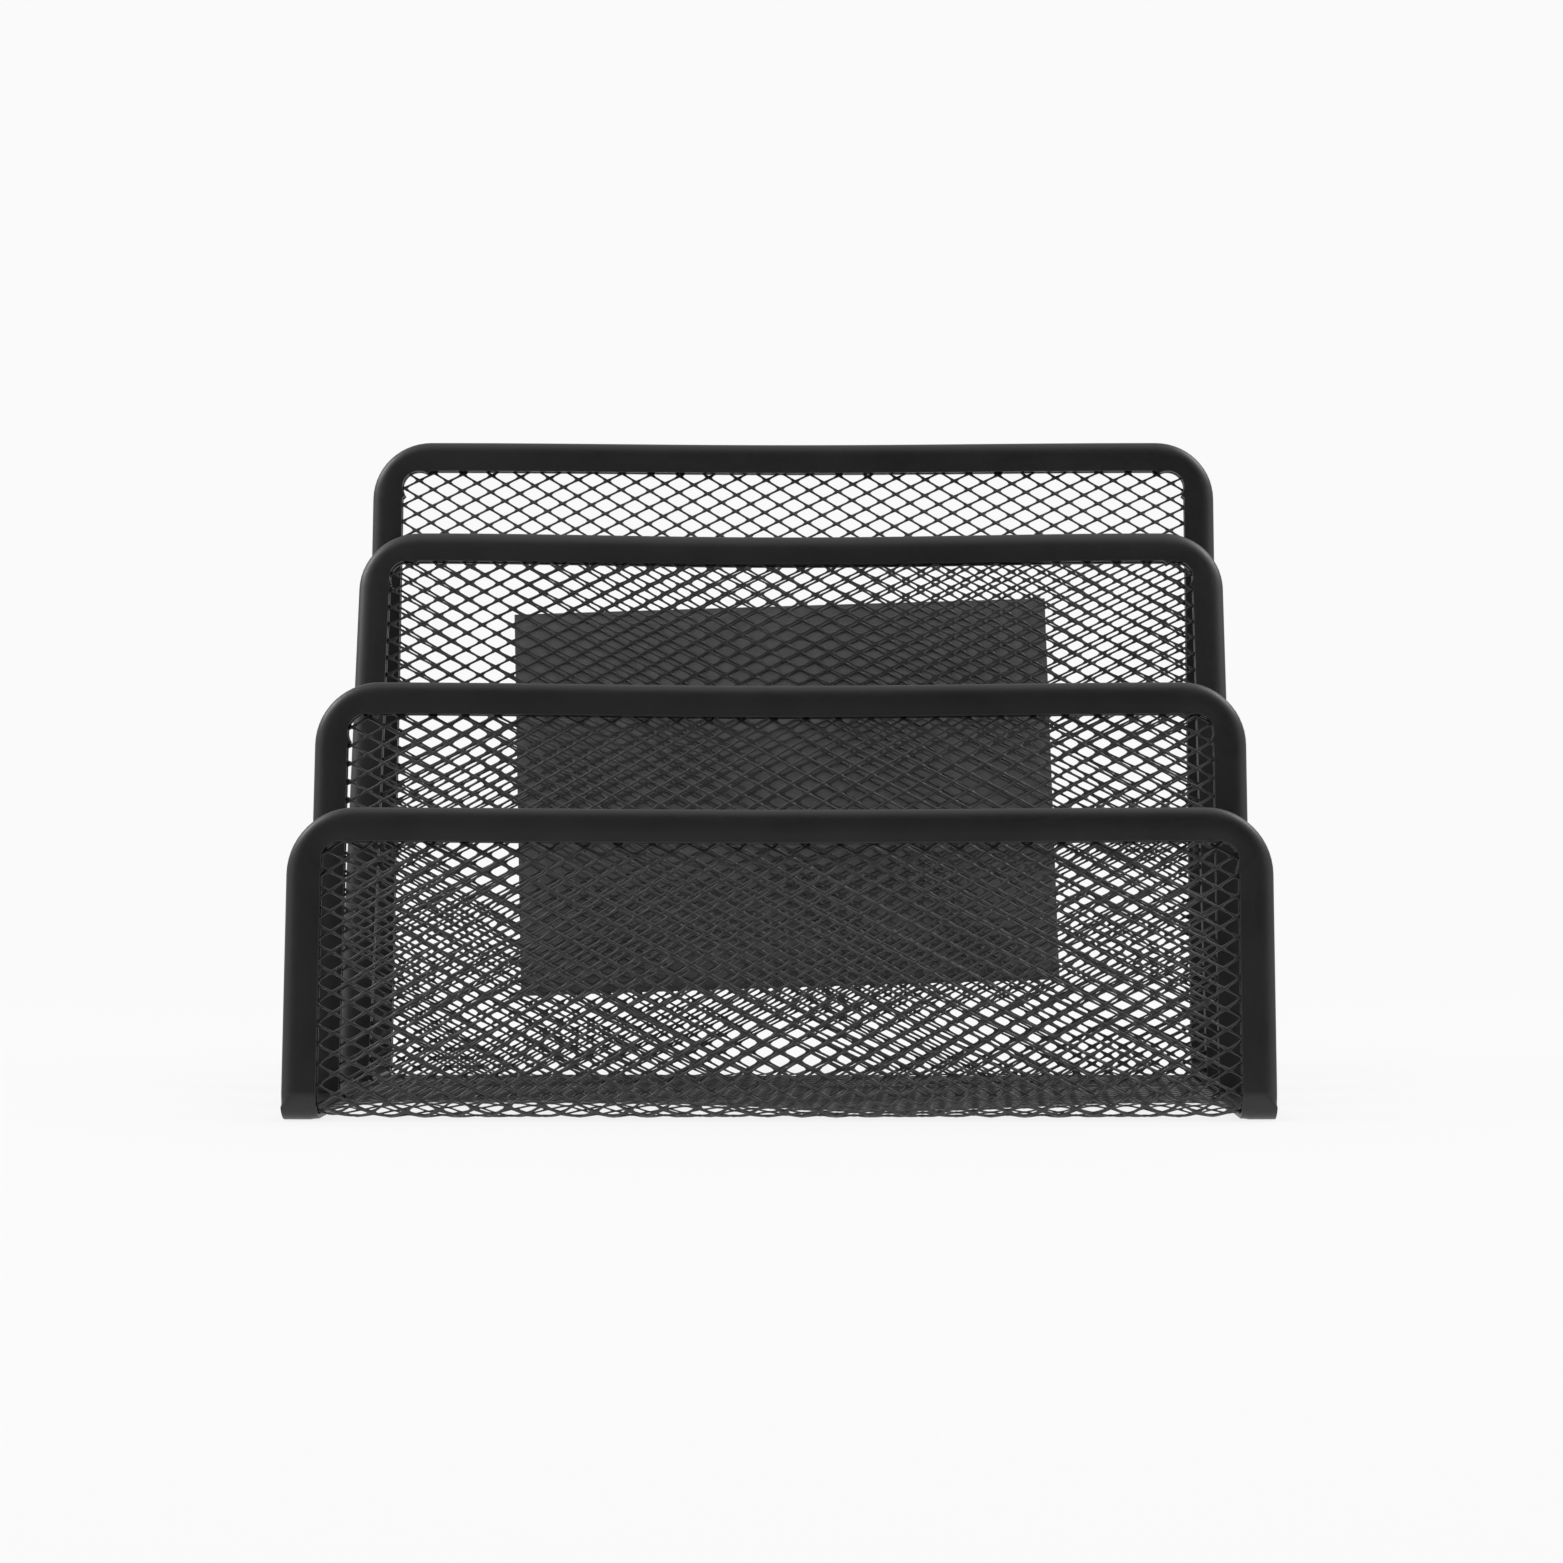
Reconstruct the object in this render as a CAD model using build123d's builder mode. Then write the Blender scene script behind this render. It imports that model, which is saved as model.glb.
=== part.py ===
from build123d import *
import os
from math import cos, hypot, radians, sin, tan

os.makedirs("parts", exist_ok=True)

# Letter rack of expanded steel sheet with bound edges: a front, two dividers and a back on one base.
# Millimetres. +Z is up, the front faces -Y, and +X is the right hand of someone facing the front.
# The origin is on the floor, midway between the rails, under the middle of the rack from front to back.

# Rack
rack_width = 170.0
pocket_pitch = 27.0  # from one panel to the next, level with the top of the rails

# Height of each panel's top edge above the floor, and its lean backwards in degrees
front_height = 53.6
front_lean = 7.0
divider_1_height = 76.7
divider_1_lean = 8.0
divider_1_offset = -0.8  # its middle, to the right of the rack's middle
divider_2_height = 108.3
divider_2_lean = 14.5
back_height = 128.1
back_lean = 7.0

# Binding strip, folded over the edge of the sheet
rim_width = 6.0
rim_thickness = 2.6
rim_corner_radius = 11.6  # outer edge, at the top corners
rim_bend_radius = 4.6  # outside of the bend from a leg into a rail
rim_edge_wall = 1.0  # metal between the rim's outer edge and its slot
rim_lip_radius = 0.4  # where the strip's two edges close on the sheet

# Expanded sheet. Its real diamonds are 5.8 x 3.4 mm, with strands about half a millimetre wide:
# they are drawn larger, in the same proportion, so that a panel has under 300 gaps.
mesh_thickness = 0.6
mesh_clearance = 0.1
diamond_long_way = 15.6
diamond_short_way = 9.1
strand_width = 1.4

# Card on the rear of the back panel
label_width = 107.0
label_height = 77.0
label_thickness = 0.4
label_offset = -1.5  # its middle, to the right of the rack's middle
label_middle_height = 56.9  # its middle, above the floor
label_turn = 1.8  # degrees, anticlockwise seen from the front

# Heights that the base sets
rail_top = rim_thickness
sheet_middle = rim_thickness / 2
base_top = sheet_middle + mesh_thickness / 2
base_bottom = sheet_middle - mesh_thickness / 2
bend_middle_radius = rim_bend_radius - rim_thickness / 2

# Half widths
rim_opening = rack_width / 2 - rim_width
sheet_half_width = rack_width / 2 - rim_edge_wall - mesh_clearance
tongue_half_width = rim_opening - mesh_clearance

slot_width = mesh_thickness + 2 * mesh_clearance
slot_depth = rim_width - rim_edge_wall


def rim_length(top_height, foot_height, lean):
    # up the panel from its foot to the top of the rim's round edge
    round_edge = rim_thickness / 2
    return (top_height - foot_height - round_edge) / cos(radians(lean)) + round_edge


def panel_plane(foot_y, foot_height, lean, offset=0):
    # X runs across the rack, Y up the panel, Z out of its front
    forward = (0, -cos(radians(lean)), sin(radians(lean)))
    return Plane(origin=(offset, foot_y, foot_height), x_dir=(1, 0, 0), z_dir=forward)


# Where the front and back legs meet the bends, and how far behind the front panel's line they are
front_foot_height = rim_bend_radius + bend_middle_radius * sin(radians(front_lean))
back_foot_height = rim_bend_radius - bend_middle_radius * sin(radians(back_lean))
front_foot_back = (front_foot_height - rail_top) * tan(radians(front_lean))
back_foot_back = 3 * pocket_pitch + (back_foot_height - rail_top) * tan(radians(back_lean))
front_bend_back = front_foot_back + bend_middle_radius * cos(radians(front_lean))
back_bend_back = back_foot_back - bend_middle_radius * cos(radians(back_lean))

# Lengths of the rims up their panels
front_length = rim_length(front_height, front_foot_height, front_lean)
divider_1_length = rim_length(divider_1_height, rail_top, divider_1_lean)
divider_2_length = rim_length(divider_2_height, rail_top, divider_2_lean)
back_length = rim_length(back_height, back_foot_height, back_lean)

# The front panel's line, placed so that the rack's box is centred on the origin from front to back
foremost_back = front_bend_back - rim_bend_radius
top_edge_back = (back_length - rim_thickness / 2) * sin(radians(back_lean))
rearmost_back = back_foot_back + top_edge_back + rim_thickness / 2
front_line = -(foremost_back + rearmost_back) / 2

front_plane = panel_plane(front_line + front_foot_back, front_foot_height, front_lean)
divider_1_plane = panel_plane(front_line + pocket_pitch, rail_top, divider_1_lean, divider_1_offset)
divider_2_plane = panel_plane(front_line + 2 * pocket_pitch, rail_top, divider_2_lean)
back_plane = panel_plane(front_line + back_foot_back, back_foot_height, back_lean)
front_bend_y = front_line + front_bend_back
back_bend_y = front_line + back_bend_back


def draw_rim_section():
    # X runs inwards from the rim's outer edge, which is fully round
    with BuildSketch() as section:
        with Locations((rim_thickness / 2, 0)):
            Circle(rim_thickness / 2)
            Rectangle(rim_width - rim_thickness / 2, rim_thickness, align=(Align.MIN, Align.CENTER))
        lips = section.vertices().group_by(Axis.X)[-1]
        fillet(lips, radius=rim_lip_radius)
        with Locations((rim_edge_wall, 0)):
            Rectangle(slot_depth, slot_width, align=(Align.MIN, Align.CENTER), mode=Mode.SUBTRACT)
    return section.sketch


rim_section = draw_rim_section()


def make_rim(plane, length, foot):
    # an arch of binding strip, from the left foot over the top to the right foot
    side = rack_width / 2
    with BuildPart() as rim:
        with BuildLine(plane) as edge:
            FilletPolyline((-side, foot), (-side, length), (side, length), (side, foot),
                           radius=rim_corner_radius)
        with BuildSketch(Plane(edge.line @ 0, x_dir=(1, 0, 0), z_dir=edge.line % 0)):
            add(rim_section)
        sweep(path=edge.line)
    return rim.part


def make_divider_rim(plane, length, lean):
    # its legs are cut level, to stand on the rails
    below_rail = rim_thickness * tan(radians(lean))
    with BuildPart() as rim:
        add(make_rim(plane, length, -below_rail))
        split(bisect_by=Plane.XY.offset(rail_top), keep=Keep.TOP)
    return rim.part


def make_rail(side):
    # binding strip along one side of the base, bent up into the legs at both ends; side is -1 or 1
    edge_plane = Plane.YZ.offset(side * rack_width / 2)
    with BuildPart() as rail:
        with BuildLine(edge_plane) as edge:
            CenterArc((front_bend_y, rim_bend_radius), bend_middle_radius, 180 - front_lean, 90 + front_lean)
            Line((front_bend_y, sheet_middle), (back_bend_y, sheet_middle))
            CenterArc((back_bend_y, rim_bend_radius), bend_middle_radius, -90, 90 - back_lean)
        with BuildSketch(Plane(edge.line @ 0, x_dir=(-side, 0, 0), z_dir=edge.line % 0)):
            add(rim_section)
        sweep(path=edge.line)
    return rail.part


def diamond_gaps(half_width, low, high):
    # outlines of staggered rows of diamonds, with half diamonds along all four sides
    columns = max(1, round(2 * half_width / diamond_long_way))
    rows = max(1, round((high - low) / diamond_short_way))
    long_way = 2 * half_width / columns
    short_way = (high - low) / rows
    side_distance = long_way * short_way / 2 / hypot(long_way, short_way)
    open_share = 1 - strand_width / 2 / side_distance
    reach = open_share * long_way / 2
    rise = open_share * short_way / 2
    column_x = [-half_width + i * long_way for i in range(columns + 1)]
    row_y = [low + j * short_way for j in range(rows + 1)]

    left, right, bottom, top = (-reach, 0), (reach, 0), (0, -rise), (0, rise)
    between = [(x + long_way / 2, y + short_way / 2) for x in column_x[:-1] for y in row_y[:-1]]
    crossing = [(x, y) for x in column_x[1:-1] for y in row_y[1:-1]]
    places = {
        (left, bottom, right, top): between + crossing,
        (bottom, right, top): [(column_x[0], y) for y in row_y[1:-1]],
        (top, left, bottom): [(column_x[-1], y) for y in row_y[1:-1]],
        (right, top, left): [(x, row_y[0]) for x in column_x[1:-1]],
        (left, bottom, right): [(x, row_y[-1]) for x in column_x[1:-1]],
    }
    gaps = []
    for corners, middles in places.items():
        for x, y in middles:
            gaps.append(Wire.make_polygon([(x + dx, y + dy) for dx, dy in corners], close=True))
    return gaps


def make_net(plane, outline, gaps):
    # one holed face, given its thickness
    sheet = Face(outline.outer_wire(), gaps)
    with BuildPart() as net:
        with BuildSketch(plane.offset(-mesh_thickness / 2)):
            add(sheet)
        extrude(amount=mesh_thickness)
    return net.part


def make_panel_mesh(plane, length, bottom, offset=0):
    # its edges lie in the slot of the rim, and a narrower tongue reaches down between the rails
    sheet_top = length - rim_edge_wall - mesh_clearance
    tongue_width = 2 * (tongue_half_width - abs(offset))
    with BuildSketch() as outline:
        with Locations((0, mesh_clearance)):
            Rectangle(2 * sheet_half_width, sheet_top - mesh_clearance, align=(Align.CENTER, Align.MIN))
        top_corners = outline.vertices().group_by(Axis.Y)[-1]
        fillet(top_corners, radius=rim_corner_radius - rim_edge_wall - mesh_clearance)
        with Locations((0, bottom)):
            Rectangle(tongue_width, rim_width - bottom, align=(Align.CENTER, Align.MIN))
    gaps = diamond_gaps(rim_opening, bottom + strand_width, length - rim_width)
    return make_net(plane, outline.face(), gaps)


def make_base_mesh():
    # from the foot of the front panel to the foot of the back panel, with its sides in the rails
    front_face = mesh_thickness / 2 / cos(radians(front_lean)) + mesh_clearance
    back_face = mesh_thickness / 2 / cos(radians(back_lean)) + mesh_clearance
    front_end = front_line - (rail_top - base_top) * tan(radians(front_lean)) + front_face
    back_end = front_line + 3 * pocket_pitch - (rail_top - base_bottom) * tan(radians(back_lean)) - back_face
    half_depth = (back_end - front_end) / 2
    middle_y = (front_end + back_end) / 2
    with BuildSketch() as outline:
        Rectangle(2 * tongue_half_width, 2 * half_depth)
        with Locations((0, front_bend_y - middle_y)):
            Rectangle(2 * sheet_half_width, back_bend_y - front_bend_y, align=(Align.CENTER, Align.MIN))
    gaps = diamond_gaps(rim_opening, strand_width - half_depth, half_depth - strand_width)
    return make_net(Plane((0, middle_y, sheet_middle)), outline.face(), gaps)


def panel_bottom(foot_height, lean, height):
    # up the panel, where the lower edge of the sheet is at a height above the floor
    return (height - foot_height) / cos(radians(lean)) + mesh_thickness / 2 * tan(radians(lean))


with BuildPart() as front_rim:
    add(make_rim(front_plane, front_length, 0))

with BuildPart() as divider_1_rim:
    add(make_divider_rim(divider_1_plane, divider_1_length, divider_1_lean))

with BuildPart() as divider_2_rim:
    add(make_divider_rim(divider_2_plane, divider_2_length, divider_2_lean))

with BuildPart() as back_rim:
    add(make_rim(back_plane, back_length, 0))

with BuildPart() as left_rail:
    add(make_rail(-1))

with BuildPart() as right_rail:
    add(make_rail(1))

with BuildPart() as front_mesh:
    add(make_panel_mesh(front_plane, front_length, panel_bottom(front_foot_height, front_lean, base_bottom)))

with BuildPart() as divider_1_mesh:
    divider_1_bottom = panel_bottom(rail_top, divider_1_lean, base_top)
    add(make_panel_mesh(divider_1_plane, divider_1_length, divider_1_bottom, divider_1_offset))

with BuildPart() as divider_2_mesh:
    add(make_panel_mesh(divider_2_plane, divider_2_length, panel_bottom(rail_top, divider_2_lean, base_top)))

with BuildPart() as back_mesh:
    add(make_panel_mesh(back_plane, back_length, panel_bottom(back_foot_height, back_lean, base_bottom)))

with BuildPart() as base_mesh:
    add(make_base_mesh())

# The card lies flat on the rear of the back panel's sheet
with BuildPart() as rear_label:
    with BuildSketch(back_plane.offset(-mesh_thickness / 2)):
        with Locations((label_offset, (label_middle_height - back_foot_height) / cos(radians(back_lean)))):
            Rectangle(label_width, label_height, rotation=label_turn)
    extrude(amount=-label_thickness)

pieces = {
    "front_rim": front_rim,
    "divider_1_rim": divider_1_rim,
    "divider_2_rim": divider_2_rim,
    "back_rim": back_rim,
    "left_rail": left_rail,
    "right_rail": right_rail,
    "front_mesh": front_mesh,
    "divider_1_mesh": divider_1_mesh,
    "divider_2_mesh": divider_2_mesh,
    "back_mesh": back_mesh,
    "base_mesh": base_mesh,
    "rear_label": rear_label,
}
for name, piece in pieces.items():
    piece.part.label = name
    export_step(piece.part, f"parts/{name}.step")
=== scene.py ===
from math import ceil, copysign, cos, exp, hypot, pi, radians, sin, sqrt, tan

import bmesh
import bpy
from mathutils import Matrix, Vector


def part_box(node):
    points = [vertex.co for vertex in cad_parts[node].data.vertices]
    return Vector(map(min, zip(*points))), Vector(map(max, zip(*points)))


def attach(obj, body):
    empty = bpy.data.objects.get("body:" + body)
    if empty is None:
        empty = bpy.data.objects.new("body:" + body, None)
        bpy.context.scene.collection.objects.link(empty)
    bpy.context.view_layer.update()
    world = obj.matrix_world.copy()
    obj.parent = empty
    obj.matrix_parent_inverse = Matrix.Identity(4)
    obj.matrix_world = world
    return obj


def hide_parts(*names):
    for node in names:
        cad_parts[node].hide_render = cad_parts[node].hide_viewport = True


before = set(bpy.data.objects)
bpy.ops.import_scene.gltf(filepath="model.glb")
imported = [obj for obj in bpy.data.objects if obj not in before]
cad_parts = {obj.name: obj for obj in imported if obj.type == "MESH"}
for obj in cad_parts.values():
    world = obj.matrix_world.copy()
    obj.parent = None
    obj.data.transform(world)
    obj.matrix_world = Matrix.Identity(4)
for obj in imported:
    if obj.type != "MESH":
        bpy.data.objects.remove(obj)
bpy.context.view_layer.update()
print("frame:", len(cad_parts), "nodes")

# Shapes are drawn in millimetres and brought to metres when a piece is finished
mm = 0.001
tiny = 0.01     # nearer than this, two points count as one


def nodeBox(node):
    low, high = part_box(node)
    return low / mm, high / mm


def onlyVerts(geom):
    return [item for item in geom if isinstance(item, bmesh.types.BMVert)]


def onlyEdges(geom):
    return [item for item in geom if isinstance(item, bmesh.types.BMEdge)]


def wholeMesh(bm):
    return bm.verts[:] + bm.edges[:] + bm.faces[:]


def meshObject(bm, name, material):
    mesh = bpy.data.meshes.new(name)
    bm.to_mesh(mesh)
    bm.free()
    mesh.materials.append(material)
    thing = bpy.data.objects.new(name, mesh)
    bpy.context.scene.collection.objects.link(thing)
    return thing


def finishPiece(bm, name, material, node, sharpAngle):
    bmesh.ops.scale(bm, vec=(mm, mm, mm), verts=bm.verts[:])
    piece = meshObject(bm, name, material)
    piece.data.shade_smooth()
    piece.data.set_sharp_from_angle(angle=radians(sharpAngle))
    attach(piece, "root")
    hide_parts(node)
    return piece


def thickenPiece(piece, thickness):
    # half of the wall to each side of the drawn surface
    wall = piece.modifiers.new("thickness", "SOLIDIFY")
    wall.thickness = thickness * mm
    wall.offset = 0.0


# Materials

def linearColour(code):
    channels = [int(code[i:i + 2], 16) / 255 for i in (1, 3, 5)]
    return [c / 12.92 if c <= 0.04045 else ((c + 0.055) / 1.055) ** 2.4 for c in channels] + [1.0]


def addNode(tree, kind, inputs, **settings):
    node = tree.nodes.new(kind)
    for name, value in settings.items():
        setattr(node, name, value)
    for socket, value in inputs.items():
        if isinstance(value, bpy.types.NodeSocket):
            tree.links.new(value, node.inputs[socket])
        else:
            node.inputs[socket].default_value = value
    return node


def startMaterial(name):
    material = bpy.data.materials.new(name)
    material.use_nodes = True
    tree = material.node_tree
    place = addNode(tree, "ShaderNodeTexCoord", {}).outputs["Object"]
    return material, tree, tree.nodes["Principled BSDF"], place


# a noise texture has nearly all its values between these
noiseLow, noiseHigh = 0.3, 0.7

powderCoat = {
    "deep": "#0a0a0b",
    "pale": "#131314",
    "cloudSize": 14.0,      # slow drift of the film's thickness
    "peelSize": 0.9,        # ripples of the baked powder
    "peelHeight": 0.004,
    "smoothest": 0.37,
    "roughest": 0.43,
    "gloss": 0.55,
}


def makePowderCoat(name, finish):
    # Polyester powder baked on steel: an even satin black whose orange peel softens every highlight
    material, tree, shader, place = startMaterial(name)
    cloud = addNode(tree, "ShaderNodeTexNoise",
                    {"Vector": place, "Scale": 1 / (finish["cloudSize"] * mm), "Detail": 3.0})
    tint = addNode(tree, "ShaderNodeValToRGB", {"Fac": cloud.outputs["Fac"]})
    tint.color_ramp.elements[0].position = noiseLow
    tint.color_ramp.elements[0].color = linearColour(finish["deep"])
    tint.color_ramp.elements[1].position = noiseHigh
    tint.color_ramp.elements[1].color = linearColour(finish["pale"])
    peel = addNode(tree, "ShaderNodeTexNoise",
                   {"Vector": place, "Scale": 1 / (finish["peelSize"] * mm), "Detail": 2.0})
    satin = addNode(tree, "ShaderNodeMapRange",
                    {"Value": peel.outputs["Fac"], "From Min": noiseLow, "From Max": noiseHigh,
                     "To Min": finish["smoothest"], "To Max": finish["roughest"]})
    ripple = addNode(tree, "ShaderNodeBump",
                     {"Height": peel.outputs["Fac"], "Strength": 1.0,
                      "Distance": finish["peelHeight"] * mm})
    shader.inputs["Specular IOR Level"].default_value = finish["gloss"]
    tree.links.new(tint.outputs["Color"], shader.inputs["Base Color"])
    tree.links.new(satin.outputs["Result"], shader.inputs["Roughness"])
    tree.links.new(ripple.outputs["Normal"], shader.inputs["Normal"])
    return material


# the same coat on the thin strands, where it lies less evenly
sheetCoat = {
    **powderCoat,
    "deep": "#161617",
    "pale": "#1f1f20",
    "cloudSize": 6.0,
    "peelSize": 0.5,
    "smoothest": 0.33,
    "roughest": 0.43,
    "gloss": 0.68,
}

# both card tones are darker than the card itself: painted shade standing in for the shadow of the expanded
# sheets in front of it
greyCardWithPaintedShade = {
    "dark": "#5e5e60",
    "light": "#6c6c6e",
    "darkUpTo": 0.12,       # fibre times mottle, up to which the card is dark
    "lightFrom": 0.4,       # and from which it is light
    "fibreLength": 1.6,     # fibres lie across the rack
    "fibreWidth": 0.3,
    "fibreHeight": 0.02,
    "mottleSize": 5.0,
    "roughness": 0.82,
}


def makeGreyCard(name, finish):
    # Uncoated recycled card: dull, with short fibres one way and a faint mottle; its grey is set darker
    # overall than the card's own, as painted shade for the shadows the expanded sheets in front cast on it
    material, tree, shader, place = startMaterial(name)
    fibreScale = (1 / (finish["fibreLength"] * mm), 1.0, 1 / (finish["fibreWidth"] * mm))
    stretch = addNode(tree, "ShaderNodeMapping", {"Vector": place, "Scale": fibreScale})
    fibre = addNode(tree, "ShaderNodeTexNoise",
                    {"Vector": stretch.outputs["Vector"], "Scale": 1.0, "Detail": 4.0})
    mottle = addNode(tree, "ShaderNodeTexNoise",
                     {"Vector": place, "Scale": 1 / (finish["mottleSize"] * mm), "Detail": 2.0})
    mixed = addNode(tree, "ShaderNodeMath",
                    {0: fibre.outputs["Fac"], 1: mottle.outputs["Fac"]}, operation="MULTIPLY")
    tint = addNode(tree, "ShaderNodeValToRGB", {"Fac": mixed.outputs["Value"]})
    tint.color_ramp.elements[0].position = finish["darkUpTo"]
    tint.color_ramp.elements[0].color = linearColour(finish["dark"])
    tint.color_ramp.elements[1].position = finish["lightFrom"]
    tint.color_ramp.elements[1].color = linearColour(finish["light"])
    nap = addNode(tree, "ShaderNodeBump",
                  {"Height": fibre.outputs["Fac"], "Strength": 1.0,
                   "Distance": finish["fibreHeight"] * mm})
    shader.inputs["Roughness"].default_value = finish["roughness"]
    tree.links.new(tint.outputs["Color"], shader.inputs["Base Color"])
    tree.links.new(nap.outputs["Normal"], shader.inputs["Normal"])
    return material


stripMaterial = makePowderCoat("powderCoatedStrip", powderCoat)
sheetMaterial = makePowderCoat("powderCoatedExpandedSheet", sheetCoat)
cardMaterial = makeGreyCard("uncoatedGreyCard", greyCardWithPaintedShade)
print("materials: strip, sheet, card")


# Where each panel stands. Lean is backwards, in degrees; dip is how far its top edge hangs in the middle.
# Each sheet was drawn out a little differently: meshPitch is the long and short way of its diamonds,
# meshTurn how many degrees their rows fall to the right, meshFan the share by which the rows lie closer
# at the right edge, meshStart where one gap lies on the panel. meshFace is 1 where the strands face up
# and -1 where they face down.

panels = {
    "front": {
        "lean": 7.0, "dip": 0.4,
        "meshPitch": (5.875, 3.49), "meshTurn": -2.855, "meshFan": 0.0,
        "meshStart": (-50.8, 28.78), "meshFace": 1,
    },
    "divider_1": {
        "lean": 8.0, "dip": 0.65,
        "meshPitch": (5.927, 3.354), "meshTurn": -0.873, "meshFan": 0.005,
        "meshStart": (-57.52, 60.07), "meshFace": 1,
    },
    "divider_2": {
        "lean": 14.5, "dip": 0.85,
        "meshPitch": (5.936, 3.38), "meshTurn": 0.43, "meshFan": 0.0254,
        "meshStart": (-60.56, 91.86), "meshFace": -1,
    },
    "back": {
        "lean": 7.0, "dip": 0.45,
        "meshPitch": (5.85, 3.348), "meshTurn": 2.604, "meshFan": 0.0284,
        "meshStart": (-61.3, 112.94), "meshFace": 1,
    },
}

strip = {
    "width": 6.0,
    "thickness": 2.6,
    "crown": 2.8,           # how far in from the outer edge its walls stay curved
    "pressedFrom": 4.5,     # from here inwards the two walls are pressed closer on the sheet
    "pressedDepth": 0.14,
    "pressedRun": 0.9,
    "lipRadius": 0.15,
    "slotWidth": 0.8,
    "slotDepth": 1.8,
    "cornerRadius": 11.6,
    "innerRadius": 3.2,     # at the strip's inner edge, tighter than the bend of its outer edge
    "bendRadius": 4.6,
    "crushed": 1.0,         # how far the crown of the rails is flattened, 1 for fully
    "crushedRun": 0.5,      # from the top of their bends down, over this share of the bend's height
    "crownSteps": 12,
    "lipSteps": 4,
    "cornerSteps": 14,
    "bendSteps": 32,
    "topCuts": 24,
    "legCuts": 6,
    "sharpAngle": 40,
}

halfWidth = nodeBox("front_rim")[1].x
halfStrip = strip["thickness"] / 2
railTop = strip["thickness"]
bendMiddle = strip["bendRadius"] - halfStrip    # the sheet's own radius in the bends


def dividerLine(name):
    # where the panel's middle crosses the top of the rails
    return nodeBox(name + "_rim")[0].y + halfStrip / cos(radians(panels[name]["lean"]))


frontLean = radians(panels["front"]["lean"])
backLean = radians(panels["back"]["lean"])
pocketPitch = dividerLine("divider_2") - dividerLine("divider_1")
footHeights = {
    "front": strip["bendRadius"] + bendMiddle * sin(frontLean),
    "divider_1": railTop,
    "divider_2": railTop,
    "back": strip["bendRadius"] - bendMiddle * sin(backLean),
}
for order, (name, panel) in enumerate(panels.items()):
    lean = radians(panel["lean"])
    rimLow, rimHigh = nodeBox(name + "_rim")
    line = dividerLine("divider_1") + (order - 1) * pocketPitch
    footZ = footHeights[name]
    footY = line + (footZ - railTop) * tan(lean)
    panel["length"] = (rimHigh.z - footZ - halfStrip) / cos(lean) + halfStrip
    panel["foot"] = Vector((0, footY, footZ))
    # X across the rack, Y up the panel, Z out of its front
    panel["place"] = Matrix((
        (1, 0, 0, (rimLow.x + rimHigh.x) / 2),
        (0, sin(lean), -cos(lean), footY),
        (0, cos(lean), sin(lean), footZ),
        (0, 0, 0, 1),
    ))

# The bends between the panels and the base: how far each turns, and where it ends on the base
frontTurn = pi / 2 + frontLean
backTurn = pi / 2 - backLean
frontBendY = panels["front"]["foot"].y + bendMiddle * cos(frontLean)
backBendY = panels["back"]["foot"].y - bendMiddle * cos(backLean)


# Binding strip

def startSection(bm, corner, inwards, across):
    # the folded strip cut through: a crowned outer edge and two lips with the sheet's slot between them
    half, slot = halfStrip, strip["slotWidth"] / 2
    pressed = half - strip["pressedDepth"]
    width, bottom = strip["width"], strip["width"] - strip["slotDepth"]
    step, stepEnd = strip["pressedFrom"], strip["pressedFrom"] + strip["pressedRun"]
    wall = [(0, half), (step, half), (stepEnd, pressed), (width, pressed), (width, slot), (bottom, slot)]
    outline = [(s, -n) for s, n in wall] + wall[::-1]
    verts = [bm.verts.new(corner + inwards * s + across * n) for s, n in outline]
    bm.faces.new(verts)
    bmesh.ops.bevel(bm, geom=[verts[0], verts[-1]], affect="VERTICES", offset=half,
                    segments=strip["crownSteps"], profile=0.5, material=-1)
    for vert in bm.verts:
        # the half-round edge is drawn out into the crown
        reach = (vert.co - corner).dot(inwards)
        if reach < half + tiny:
            vert.co += inwards * reach * (strip["crown"] / half - 1)
    lips = [v for v in bm.verts if abs((v.co - corner).dot(inwards) - width) < tiny
            and abs((v.co - corner).dot(across)) > pressed - tiny]
    bmesh.ops.bevel(bm, geom=lips, affect="VERTICES", offset=strip["lipRadius"],
                    segments=strip["lipSteps"], profile=0.5, material=-1)
    bmesh.ops.remove_doubles(bm, verts=bm.verts[:], dist=tiny)
    return bm.faces[:]


def runStraight(bm, loop, along, cuts):
    for _ in range(cuts):
        moved = bmesh.ops.extrude_edge_only(bm, edges=loop)["geom"]
        verts = onlyVerts(moved)
        bmesh.ops.translate(bm, verts=verts, vec=along / cuts)
        loop = [e for e in onlyEdges(moved) if all(v in verts for v in e.verts)]
    return loop


def turnCorner(bm, loop, centre, axis, angle, steps):
    verts = list(dict.fromkeys(v for e in loop for v in e.verts))
    turned = bmesh.ops.spin(bm, geom=verts + loop, cent=centre, axis=axis, angle=angle,
                            steps=steps, use_duplicate=False)
    return onlyEdges(turned["geom_last"])


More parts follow.
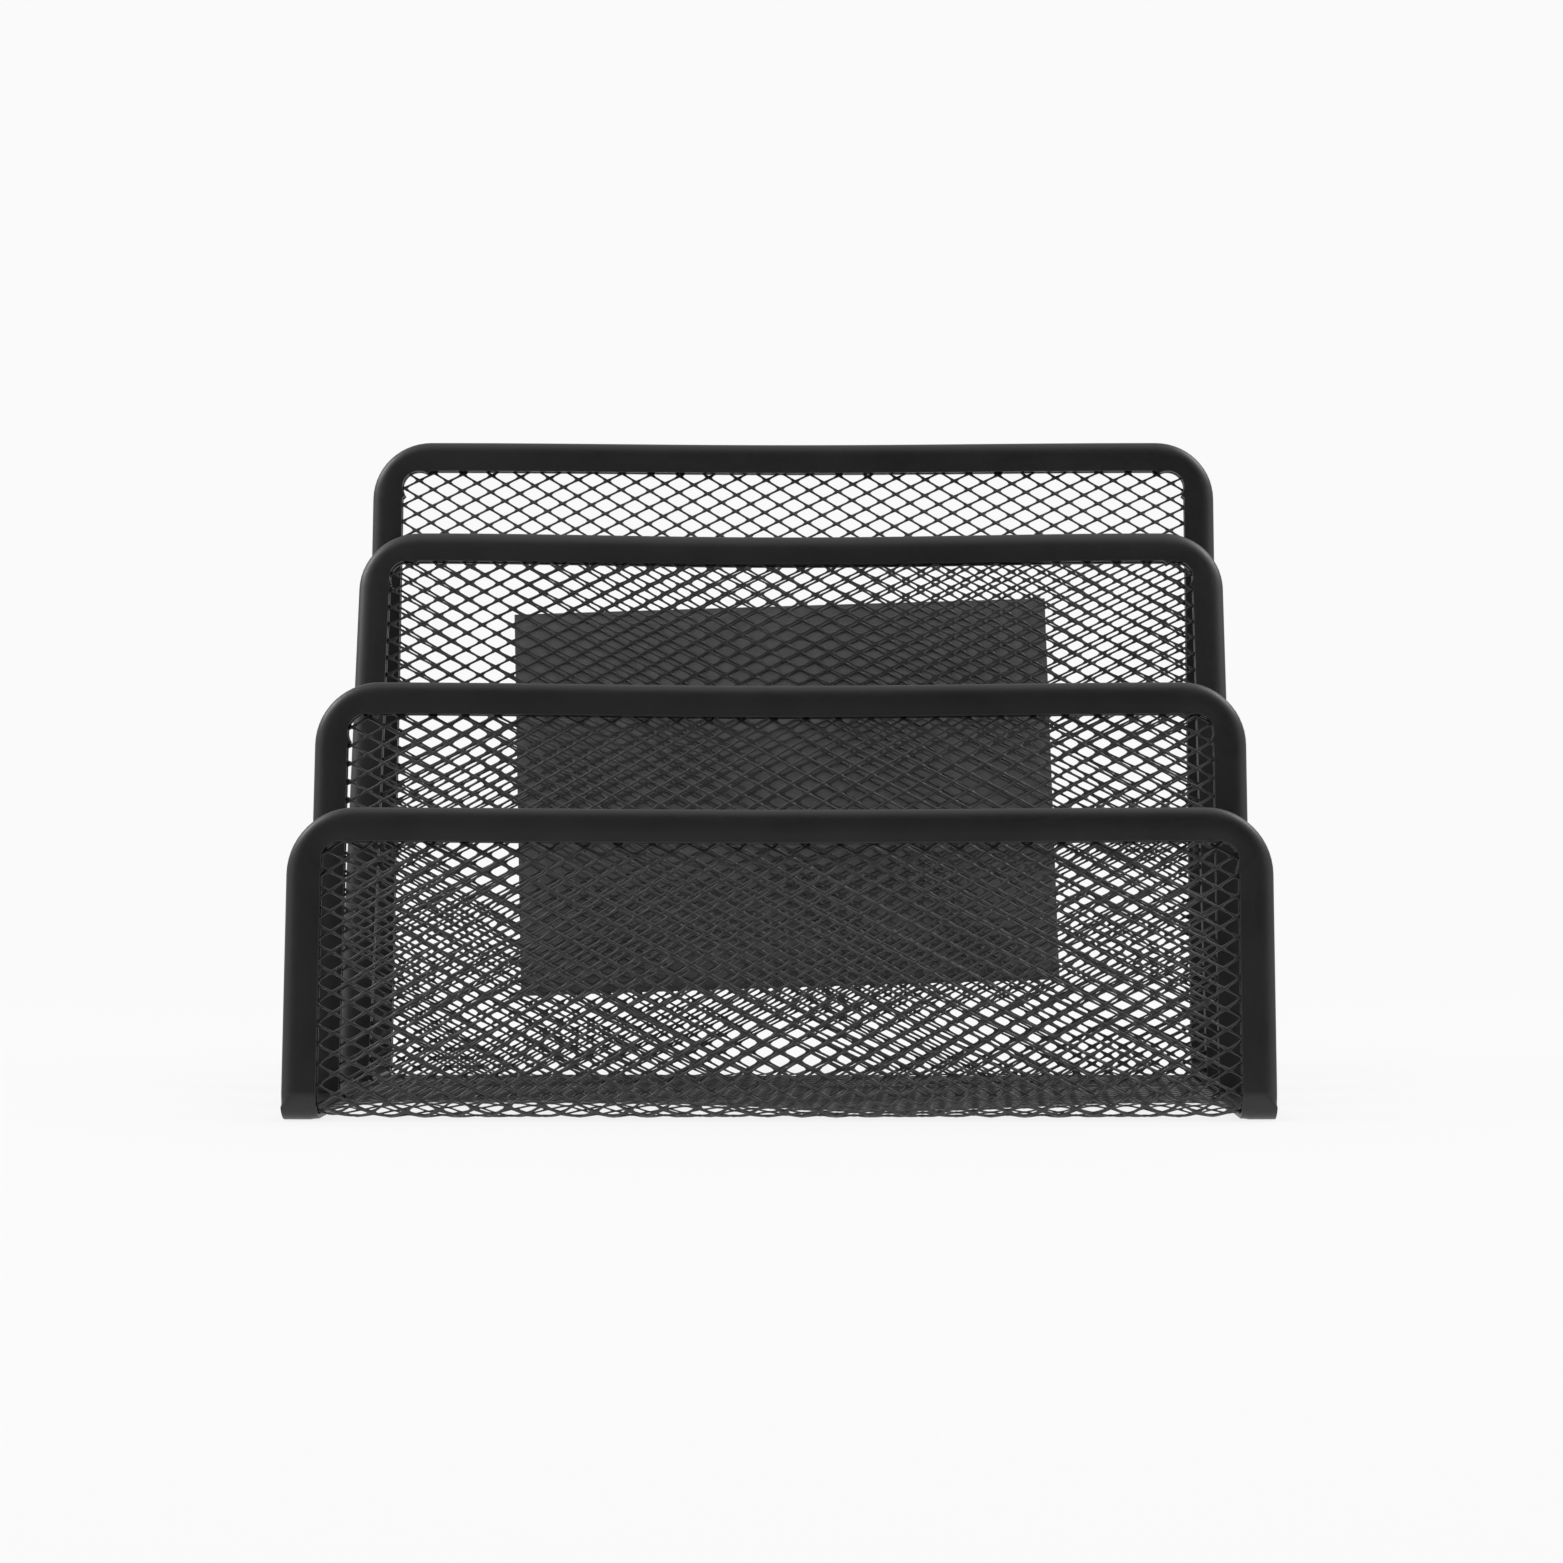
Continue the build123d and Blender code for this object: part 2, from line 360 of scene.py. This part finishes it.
def tightenCorners(bm, length):
    # the strip is narrower across its corners, where the inner edge turns more sharply than the outer one
    outer, inner = strip["cornerRadius"], strip["cornerRadius"] - strip["width"]
    back = inner - strip["innerRadius"]
    for vert in bm.verts:
        side = copysign(1, vert.co.x)
        out = abs(vert.co.x) - (halfWidth - outer)
        up = vert.co.y - (length - outer)
        if out > tiny and up > tiny:
            reach = hypot(out, up)
            toCentre = back * (out + up) / reach
            # the inner edge lies on a straight run or on its own tighter arc, whichever is nearer
            edge = min(inner / max(out, up) * reach,
                       toCentre + sqrt(max(0.0, toCentre ** 2 - 2 * back ** 2 + strip["innerRadius"] ** 2)))
            share = (outer - reach) / (outer - inner)
            stretch = (outer - share * (outer - edge)) / reach
            vert.co.x = side * (halfWidth - outer + out * stretch)
            vert.co.y = length - outer + up * stretch


def makeRim(name):
    # an arch of strip over the top and side edges of one panel
    panel = panels[name]
    length, corner = panel["length"], strip["cornerRadius"]
    onRails = name.startswith("divider")
    foot = -railTop * tan(radians(panel["lean"])) if onRails else 0.0
    flat = halfWidth - corner
    facing, steps = Vector((0, 0, 1)), strip["cornerSteps"]
    bm = bmesh.new()
    startSection(bm, Vector((-halfWidth, foot, 0)), Vector((1, 0, 0)), facing)
    loop = bm.edges[:]
    up = Vector((0, length - corner - foot, 0))
    loop = runStraight(bm, loop, up, strip["legCuts"])
    loop = turnCorner(bm, loop, Vector((-flat, length - corner, 0)), facing, -pi / 2, steps)
    loop = runStraight(bm, loop, Vector((2 * flat, 0, 0)), strip["topCuts"])
    loop = turnCorner(bm, loop, Vector((flat, length - corner, 0)), facing, -pi / 2, steps)
    loop = runStraight(bm, loop, -up, strip["legCuts"])
    bmesh.ops.contextual_create(bm, geom=loop)
    tightenCorners(bm, length)
    for vert in bm.verts:
        if abs(vert.co.x) < flat:
            vert.co.y -= panel["dip"] * (1 + cos(pi * vert.co.x / flat)) / 2
    bmesh.ops.transform(bm, matrix=panel["place"], verts=bm.verts[:])
    if onRails:
        bmesh.ops.bisect_plane(bm, geom=wholeMesh(bm), plane_co=(0, 0, railTop), plane_no=(0, 0, -1),
                               clear_outer=True)
        bmesh.ops.holes_fill(bm, edges=[e for e in bm.edges if e.is_boundary])
    bmesh.ops.recalc_face_normals(bm, faces=bm.faces[:])
    finishPiece(bm, name + "_binding", stripMaterial, name + "_rim", strip["sharpAngle"])


def crushCrown(bm, side):
    # the outer edge is flat along a rail and goes over into the legs' crown in its bends
    for vert in bm.verts:
        inwards = halfWidth - side * vert.co.x
        if inwards < strip["crown"] - tiny:
            depth = max(0.0, 1 - vert.co.z / strip["bendRadius"])
            low = min(1.0, depth / strip["crushedRun"])
            vert.co.x += side * inwards * strip["crushed"] * low * low * (3 - 2 * low)


def makeRail(name, side):
    # strip along one side of the base, bent up into the legs at both ends
    corner = Vector((side * halfWidth, frontBendY, halfStrip))
    bm = bmesh.new()
    startFaces = startSection(bm, corner, Vector((-side, 0, 0)), Vector((0, 0, 1)))
    startLoop = bm.edges[:]
    bmesh.ops.delete(bm, geom=startFaces, context="FACES_ONLY")
    across, steps = Vector((1, 0, 0)), strip["bendSteps"]
    frontCentre = Vector((0, frontBendY, strip["bendRadius"]))
    frontEnd = turnCorner(bm, startLoop, frontCentre, across, -frontTurn, steps)
    bmesh.ops.contextual_create(bm, geom=frontEnd)
    loop = runStraight(bm, startLoop, Vector((0, backBendY - frontBendY, 0)), strip["legCuts"])
    backCentre = Vector((0, backBendY, strip["bendRadius"]))
    backEnd = turnCorner(bm, loop, backCentre, across, backTurn, steps)
    bmesh.ops.contextual_create(bm, geom=backEnd)
    crushCrown(bm, side)
    bmesh.ops.recalc_face_normals(bm, faces=bm.faces[:])
    finishPiece(bm, name + "_strip", stripMaterial, name, strip["sharpAngle"])


for panelName in panels:
    makeRim(panelName)
makeRail("left_rail", -1)
makeRail("right_rail", 1)
print("binding strip: four rims, two rails")


# Expanded sheet

sheet = {
    "longWay": 5.9,
    "shortWay": 3.42,
    "strandWidth": 0.3,
    "thickness": 0.27,
    "strandTilt": 6.5,      # degrees by which each gap's edges are turned out of the sheet
    "strandCuts": 2,        # so that a strand can follow a bend
    "bluntLong": 0.36,      # how far the gap's corners are filled at the knots
    "bluntShort": 0.1,
    "edgeInset": 2.0,       # from the strip's outer edge to the sheet's edge, which the strip hides
    "cutSnap": 0.001,       # nearer than this to a cut, a point lies on it
    "spareRows": 6,         # diamonds drawn past the edges, then cut away
    "foldDrop": 0.75,       # how far the front fold hangs under the level of the base
    "foldReach": 4.0,
    "baseRise": 0.95,       # how far the base stands up behind the fold
    "riseMiddle": 9.0,
    "riseReach": 6.5,
    "sagMiddle": 19.0,      # where across the rack the base hangs nearly as low as the fold
    "sagReach": 30.0,
    "sagShare": 0.85,
    "sagFade": 0.25,        # share of the base's depth, at the back, over which the sag dies away
    "heldPower": 30,        # high, so that the rails hold the sheet only close by
    "standOff": 0.4,        # lower edge of a divider's sheet above the middle of the base
    "sharpAngle": 180,      # the strands are shaded smooth
}

# Where the bends end on the sheets, measured down from the panels' feet
frontBendEnd = -bendMiddle * frontTurn
backBendEnd = -bendMiddle * backTurn


def makeDiamondPair():
    # two staggered diamonds, each a ring of half strands round its gap
    bm = bmesh.new()
    bmesh.ops.create_circle(bm, segments=4, radius=1.0)
    bmesh.ops.scale(bm, vec=(sheet["longWay"] / 2, sheet["shortWay"] / 2, 1), verts=bm.verts[:])
    bmesh.ops.subdivide_edges(bm, edges=bm.edges[:], cuts=sheet["strandCuts"])
    gap = bmesh.ops.contextual_create(bm, geom=bm.edges[:])["faces"]
    bmesh.ops.inset_region(bm, faces=gap, thickness=sheet["strandWidth"] / 2, use_boundary=True,
                           use_even_offset=True)
    for vert in gap[0].verts:
        if abs(vert.co.y) < tiny:
            vert.co.x -= copysign(sheet["bluntLong"], vert.co.x)
        elif abs(vert.co.x) < tiny:
            vert.co.y -= copysign(sheet["bluntShort"], vert.co.y)
    bmesh.ops.rotate(bm, verts=gap[0].verts[:], cent=(0, 0, 0),
                     matrix=Matrix.Rotation(radians(sheet["strandTilt"]), 3, "X"))
    bmesh.ops.delete(bm, geom=gap, context="FACES_ONLY")
    second = bmesh.ops.duplicate(bm, geom=wholeMesh(bm))["geom"]
    bmesh.ops.translate(bm, verts=onlyVerts(second), vec=(sheet["longWay"] / 2, sheet["shortWay"] / 2, 0))
    mesh = bpy.data.meshes.new("diamondPair")
    bm.to_mesh(mesh)
    bm.free()
    return mesh


diamondPair = makeDiamondPair()


def rowPoint(panel, column, row):
    # where a place among the rows of diamonds lies on the panel
    longWay, shortWay = panel["meshPitch"]
    startX, startY = panel["meshStart"]
    turn = radians(panel["meshTurn"])
    along = column * longWay
    up = row * shortWay * (1 - panel["meshFan"] * (along + startX) / halfWidth)
    x = startX + along * cos(turn) + up * sin(turn)
    y = startY - along * sin(turn) + up * cos(turn)
    return Vector((x, y))


def rowsAt(panel, x, y):
    # the other way round: which column and row lie at a place on the panel
    longWay, shortWay = panel["meshPitch"]
    startX, startY = panel["meshStart"]
    turn = radians(panel["meshTurn"])
    along = (x - startX) * cos(turn) - (y - startY) * sin(turn)
    up = (x - startX) * sin(turn) + (y - startY) * cos(turn)
    return along / longWay, up / shortWay / (1 - panel["meshFan"] * (along + startX) / halfWidth)


def spreadDiamonds(low, high, panel, pointOf):
    # rows and columns of diamonds that more than cover the sheet
    middleColumn, middleRow = (round(number) for number in rowsAt(panel, 0, (low + high) / 2))
    columns = ceil(2 * halfWidth / sheet["longWay"]) + sheet["spareRows"]
    rows = ceil((high - low) / sheet["shortWay"]) + 2 * sheet["spareRows"]
    source = bpy.data.objects.new("diamondRows", diamondPair)
    bpy.context.scene.collection.objects.link(source)
    for step, count in (((sheet["longWay"], 0, 0), columns), ((0, sheet["shortWay"], 0), rows)):
        repeat = source.modifiers.new("repeat", "ARRAY")
        repeat.use_relative_offset = False
        repeat.use_constant_offset = True
        repeat.constant_offset_displace = step
        repeat.count = count
    spread = bpy.data.meshes.new_from_object(source.evaluated_get(bpy.context.evaluated_depsgraph_get()))
    bm = bmesh.new()
    bm.from_mesh(spread)
    bpy.data.objects.remove(source)
    bpy.data.meshes.remove(spread)
    bmesh.ops.remove_doubles(bm, verts=bm.verts[:], dist=tiny)
    for vert in bm.verts:
        column = middleColumn - columns // 2 + vert.co.x / sheet["longWay"]
        row = middleRow - rows // 2 + vert.co.y / sheet["shortWay"]
        vert.co.xy = pointOf(column, row)
        vert.co.z *= panel["meshFace"]
    return bm


def trimSheet(bm, low, high, rounded):
    # cuts the sheet to its outline, with its top corners taken off inside the strip
    side = halfWidth - sheet["edgeInset"]
    cuts = [((way * side, 0, 0), (way, 0, 0)) for way in (-1, 1)]
    cuts += [((0, low, 0), (0, -1, 0)), ((0, high, 0), (0, 1, 0))]
    if rounded:
        reach = (strip["cornerRadius"] - sheet["edgeInset"]) * sin(pi / 4)
        cornerX = halfWidth - strip["cornerRadius"] + reach
        cornerY = high + sheet["edgeInset"] - strip["cornerRadius"] + reach
        cuts += [((way * cornerX, cornerY, 0), (way, 1, 0)) for way in (-1, 1)]
    for point, outwards in cuts:
        bmesh.ops.bisect_plane(bm, geom=wholeMesh(bm), dist=sheet["cutSnap"], plane_co=point,
                               plane_no=outwards, clear_outer=True)


def hangFold(bm):
    # the front fold hangs lower than the base, which stands up behind it but sags near the middle
    for vert in bm.verts:
        behind = frontBendEnd - vert.co.y
        hang = sheet["foldDrop"] * exp(-(behind / sheet["foldReach"]) ** 2)
        if behind > 0:
            sag = sheet["sagShare"] * exp(-((vert.co.x - sheet["sagMiddle"]) / sheet["sagReach"]) ** 2)
            rear = max(0.0, 1 - behind / (backBendY - frontBendY))
            hang += (sheet["foldDrop"] - hang) * sag * min(1.0, rear / sheet["sagFade"])
            rise = exp(-((behind - sheet["riseMiddle"]) / sheet["riseReach"]) ** 2)
            hang -= sheet["baseRise"] * rise * (1 - sag) * min(1.0, behind / sheet["foldReach"])
        free = max(0.0, 1 - (vert.co.x / (halfWidth - strip["width"])) ** sheet["heldPower"])
        vert.co.z += hang * free


def foldSheet(bm, turn, towards):
    # bends what lies below the panel's foot into the base; towards is -1 for a base behind the panel
    for vert in bm.verts:
        across, along, proud = vert.co
        if along < 0:
            angle = min(-along / bendMiddle, turn)
            flat = -along - bendMiddle * angle
            down = bendMiddle * sin(angle) + flat * cos(angle) - towards * proud * sin(angle)
            out = towards * (bendMiddle * (1 - cos(angle)) + flat * sin(angle)) + proud * cos(angle)
            vert.co = (across, -down, out)


def finishSheet(bm, name, place, node):
    bmesh.ops.transform(bm, matrix=place, verts=bm.verts[:])
    piece = finishPiece(bm, name, sheetMaterial, node, sheet["sharpAngle"])
    thickenPiece(piece, sheet["thickness"])


def makePanelSheet(name, low):
    panel = panels[name]
    high = panel["length"] - sheet["edgeInset"]
    bm = spreadDiamonds(low, high, panel, lambda column, row: rowPoint(panel, column, row))
    trimSheet(bm, low, high, True)
    if name == "front":
        hangFold(bm)
        foldSheet(bm, frontTurn, -1)
    elif name == "back":
        foldSheet(bm, backTurn, 1)
    finishSheet(bm, name + "_sheet", panel["place"], name + "_mesh")


def makeBaseSheet():
    # the rows of the front go on behind its fold and drift until they meet those of the back
    front, back = panels["front"], panels["back"]
    low = frontBendEnd - (backBendY - frontBendY)
    frontColumn, frontRow = rowsAt(front, 0, low)
    backColumn, backRow = rowsAt(back, 0, backBendEnd)
    columnStep, rowStep = backColumn - frontColumn, backRow + frontRow
    # rows meet where the two differ by whole steps, or by half a step both ways
    steps = [(round(columnStep - half) + half, round(rowStep - half) + half) for half in (0, 0.5)]
    columnStep, rowStep = min(steps, key=lambda step: hypot((step[0] - columnStep) * sheet["longWay"],
                                                            (step[1] - rowStep) * sheet["shortWay"]))

    def driftingPoint(column, row):
        ahead = rowPoint(front, column, row)
        behind = rowPoint(back, column + columnStep, rowStep - row)
        behind.y = low + backBendEnd - behind.y
        share = (frontBendEnd - ahead.y) / (frontBendEnd - low)
        return ahead.lerp(behind, min(1.0, max(0.0, share)))

    bm = spreadDiamonds(low, frontBendEnd, front, driftingPoint)
    trimSheet(bm, low, frontBendEnd, False)
    hangFold(bm)
    foldSheet(bm, frontTurn, -1)
    finishSheet(bm, "base_sheet", front["place"], "base_mesh")


makePanelSheet("front", frontBendEnd)
for panelName in ("divider_1", "divider_2"):
    lowerEdge = (halfStrip + sheet["standOff"] - railTop) / cos(radians(panels[panelName]["lean"]))
    makePanelSheet(panelName, lowerEdge)
makePanelSheet("back", backBendEnd)
makeBaseSheet()
print("expanded sheet: four panels, base")


# Card on the rear of the back panel

card = {
    "width": 107.0,
    "height": 77.0,
    "thickness": 0.4,
    "offset": -1.5,
    "middleHeight": 56.6,
    "turn": 1.8,
    "behindSheet": 0.55,
    "bow": 0.25,            # how far its side edges stand off the sheet
    "cuts": 20,
    "sharpAngle": 40,
}


def makeCard():
    panel = panels["back"]
    up = (card["middleHeight"] - panel["foot"].z) / cos(backLean)
    bm = bmesh.new()
    bmesh.ops.create_grid(bm, x_segments=card["cuts"], y_segments=card["cuts"], size=0.5)
    bmesh.ops.scale(bm, vec=(card["width"], card["height"], 1), verts=bm.verts[:])
    for vert in bm.verts:
        vert.co.z = -card["bow"] * (2 * vert.co.x / card["width"]) ** 2
    bmesh.ops.rotate(bm, verts=bm.verts[:], cent=(0, 0, 0),
                     matrix=Matrix.Rotation(radians(card["turn"]), 3, "Z"))
    middle = (card["offset"], up, -card["behindSheet"] - card["thickness"] / 2)
    bmesh.ops.translate(bm, verts=bm.verts[:], vec=middle)
    bmesh.ops.transform(bm, matrix=panel["place"], verts=bm.verts[:])
    piece = finishPiece(bm, "rear_card", cardMaterial, "rear_label", card["sharpAngle"])
    thickenPiece(piece, card["thickness"])


makeCard()
print("card: one")


# Backdrop, floor, light and camera, in metres but for the camera

backdrop = {
    "white": "#fafafa",     # as the camera sees it
    "lightColour": "#ffffff",
    "lightStrength": 1.0,
}


def seenRays(tree):
    # 1 for what the camera sees, straight on or in a reflection
    path = addNode(tree, "ShaderNodeLightPath", {})
    mirrored = addNode(tree, "ShaderNodeMath",
                       {0: path.outputs["Is Camera Ray"], 1: path.outputs["Is Glossy Ray"]},
                       operation="MAXIMUM")
    shown = addNode(tree, "ShaderNodeMath",
                    {0: mirrored.outputs["Value"], 1: path.outputs["Is Transmission Ray"]},
                    operation="MAXIMUM")
    return shown.outputs["Value"]


def makeWorld():
    world = bpy.data.worlds.new("studioWhite")
    bpy.context.scene.world = world
    world.use_nodes = True
    tree = world.node_tree
    tree.nodes.clear()
    white = addNode(tree, "ShaderNodeBackground",
                    {"Color": linearColour(backdrop["white"]), "Strength": 1.0})
    light = addNode(tree, "ShaderNodeBackground",
                    {"Color": linearColour(backdrop["lightColour"]), "Strength": backdrop["lightStrength"]})
    mixed = addNode(tree, "ShaderNodeMixShader",
                    {"Fac": seenRays(tree), 1: light.outputs[0], 2: white.outputs[0]})
    addNode(tree, "ShaderNodeOutputWorld", {"Surface": mixed.outputs[0]})


floor = {
    "size": 6.0,
    "glow": 0.85,           # share of its white that shadows leave
    "diffuse": 0.1,
    "fadeFrom": 0.25,       # from the rack, over which it turns to plain white
    "fadeTo": 1.0,
    "bounce": "#e6e6e6",    # the plain floor that lights the rack from below
}


def makeFloor():
    material = bpy.data.materials.new("paleFloor")
    material.use_nodes = True
    tree = material.node_tree
    tree.nodes.clear()
    glow = addNode(tree, "ShaderNodeEmission",
                   {"Color": linearColour(backdrop["white"]), "Strength": floor["glow"]})
    matt = addNode(tree, "ShaderNodeBsdfDiffuse", {"Color": [floor["diffuse"]] * 3 + [1.0]})
    near = addNode(tree, "ShaderNodeAddShader", {0: glow.outputs[0], 1: matt.outputs[0]})
    place = addNode(tree, "ShaderNodeTexCoord", {}).outputs["Object"]
    distance = addNode(tree, "ShaderNodeVectorMath", {0: place}, operation="LENGTH")
    fade = addNode(tree, "ShaderNodeMapRange",
                   {"Value": distance.outputs["Value"], "From Min": floor["fadeFrom"],
                    "From Max": floor["fadeTo"]}, interpolation_type="SMOOTHSTEP")
    far = addNode(tree, "ShaderNodeEmission", {"Color": linearColour(backdrop["white"]), "Strength": 1.0})
    shown = addNode(tree, "ShaderNodeMixShader",
                    {"Fac": fade.outputs["Result"], 1: near.outputs[0], 2: far.outputs[0]})
    plain = addNode(tree, "ShaderNodeBsdfDiffuse", {"Color": linearColour(floor["bounce"])})
    mixed = addNode(tree, "ShaderNodeMixShader",
                    {"Fac": seenRays(tree), 1: plain.outputs[0], 2: shown.outputs[0]})
    addNode(tree, "ShaderNodeOutputMaterial", {"Surface": mixed.outputs[0]})
    bm = bmesh.new()
    bmesh.ops.create_grid(bm, x_segments=1, y_segments=1, size=floor["size"] / 2)
    meshObject(bm, "floor", material)


flag = {
    "size": (2.4, 1.8),
    "place": (0.0, -1.3, 0.95),
    "tone": "#141414",
    "roughness": 0.9,
}


def makeFlag():
    # a dark card out of the picture, which keeps white off the faces that look towards it
    material = bpy.data.materials.new("frontFlag")
    material.use_nodes = True
    shader = material.node_tree.nodes["Principled BSDF"]
    shader.inputs["Base Color"].default_value = linearColour(flag["tone"])
    shader.inputs["Roughness"].default_value = flag["roughness"]
    width, height = flag["size"]
    bm = bmesh.new()
    bmesh.ops.create_grid(bm, x_segments=1, y_segments=1, size=0.5)
    bmesh.ops.scale(bm, vec=(width, height, 1), verts=bm.verts[:])
    bmesh.ops.rotate(bm, verts=bm.verts[:], cent=(0, 0, 0), matrix=Matrix.Rotation(pi / 2, 3, "X"))
    bmesh.ops.translate(bm, verts=bm.verts[:], vec=flag["place"])
    board = meshObject(bm, "frontFlag", material)
    board.visible_camera = False
    board.visible_diffuse = False


lamps = {
    "keyLamp": {"power": 5.0, "size": 0.5, "place": (-0.85, -0.1, 0.75)},
    "sideLamp": {"power": 5.0, "size": 0.6, "place": (0.7, 0.0, 0.85)},
    "fillLamp": {"power": 0.2, "size": 0.35, "place": (-0.3, -1.15, 0.55)},
}
lampTarget = (0.0, 0.0, 0.05)


def makeLamp(name, power, size, place):
    lamp = bpy.data.lights.new(name, "AREA")
    lamp.shape = "DISK"
    lamp.size = size
    lamp.energy = power
    holder = bpy.data.objects.new(name, lamp)
    bpy.context.scene.collection.objects.link(holder)
    holder.location = place
    aim = Vector(lampTarget) - Vector(place)
    holder.rotation_euler = aim.to_track_quat("-Z", "Y").to_euler()


view = {
    "place": (15.4, -557.6, 50.2),
    "sensor": 36.0,
    "nearest": 10.0,        # what lies closer to the lens is not drawn
    "imageSize": 1563,      # pixels, as are the next two
    "focalLength": 2986.0,
    "principal": (869.4, 827.0),
}


def makeCamera():
    lens = bpy.data.cameras.new("photoView")
    size = view["imageSize"]
    lens.sensor_width = view["sensor"]
    lens.lens = view["focalLength"] / size * view["sensor"]
    lens.shift_x = (size / 2 - view["principal"][0]) / size
    lens.shift_y = (view["principal"][1] - size / 2) / size
    lens.clip_start = view["nearest"] * mm
    holder = bpy.data.objects.new("photoView", lens)
    bpy.context.scene.collection.objects.link(holder)
    holder.location = Vector(view["place"]) * mm
    holder.rotation_euler = (pi / 2, 0, 0)
    bpy.context.scene.camera = holder


makeWorld()
makeFloor()
makeFlag()
for lampName, lampSettings in lamps.items():
    makeLamp(lampName, **lampSettings)
makeCamera()
bpy.context.scene.view_settings.view_transform = "Standard"
print("studio: floor, flag, three lamps, camera")
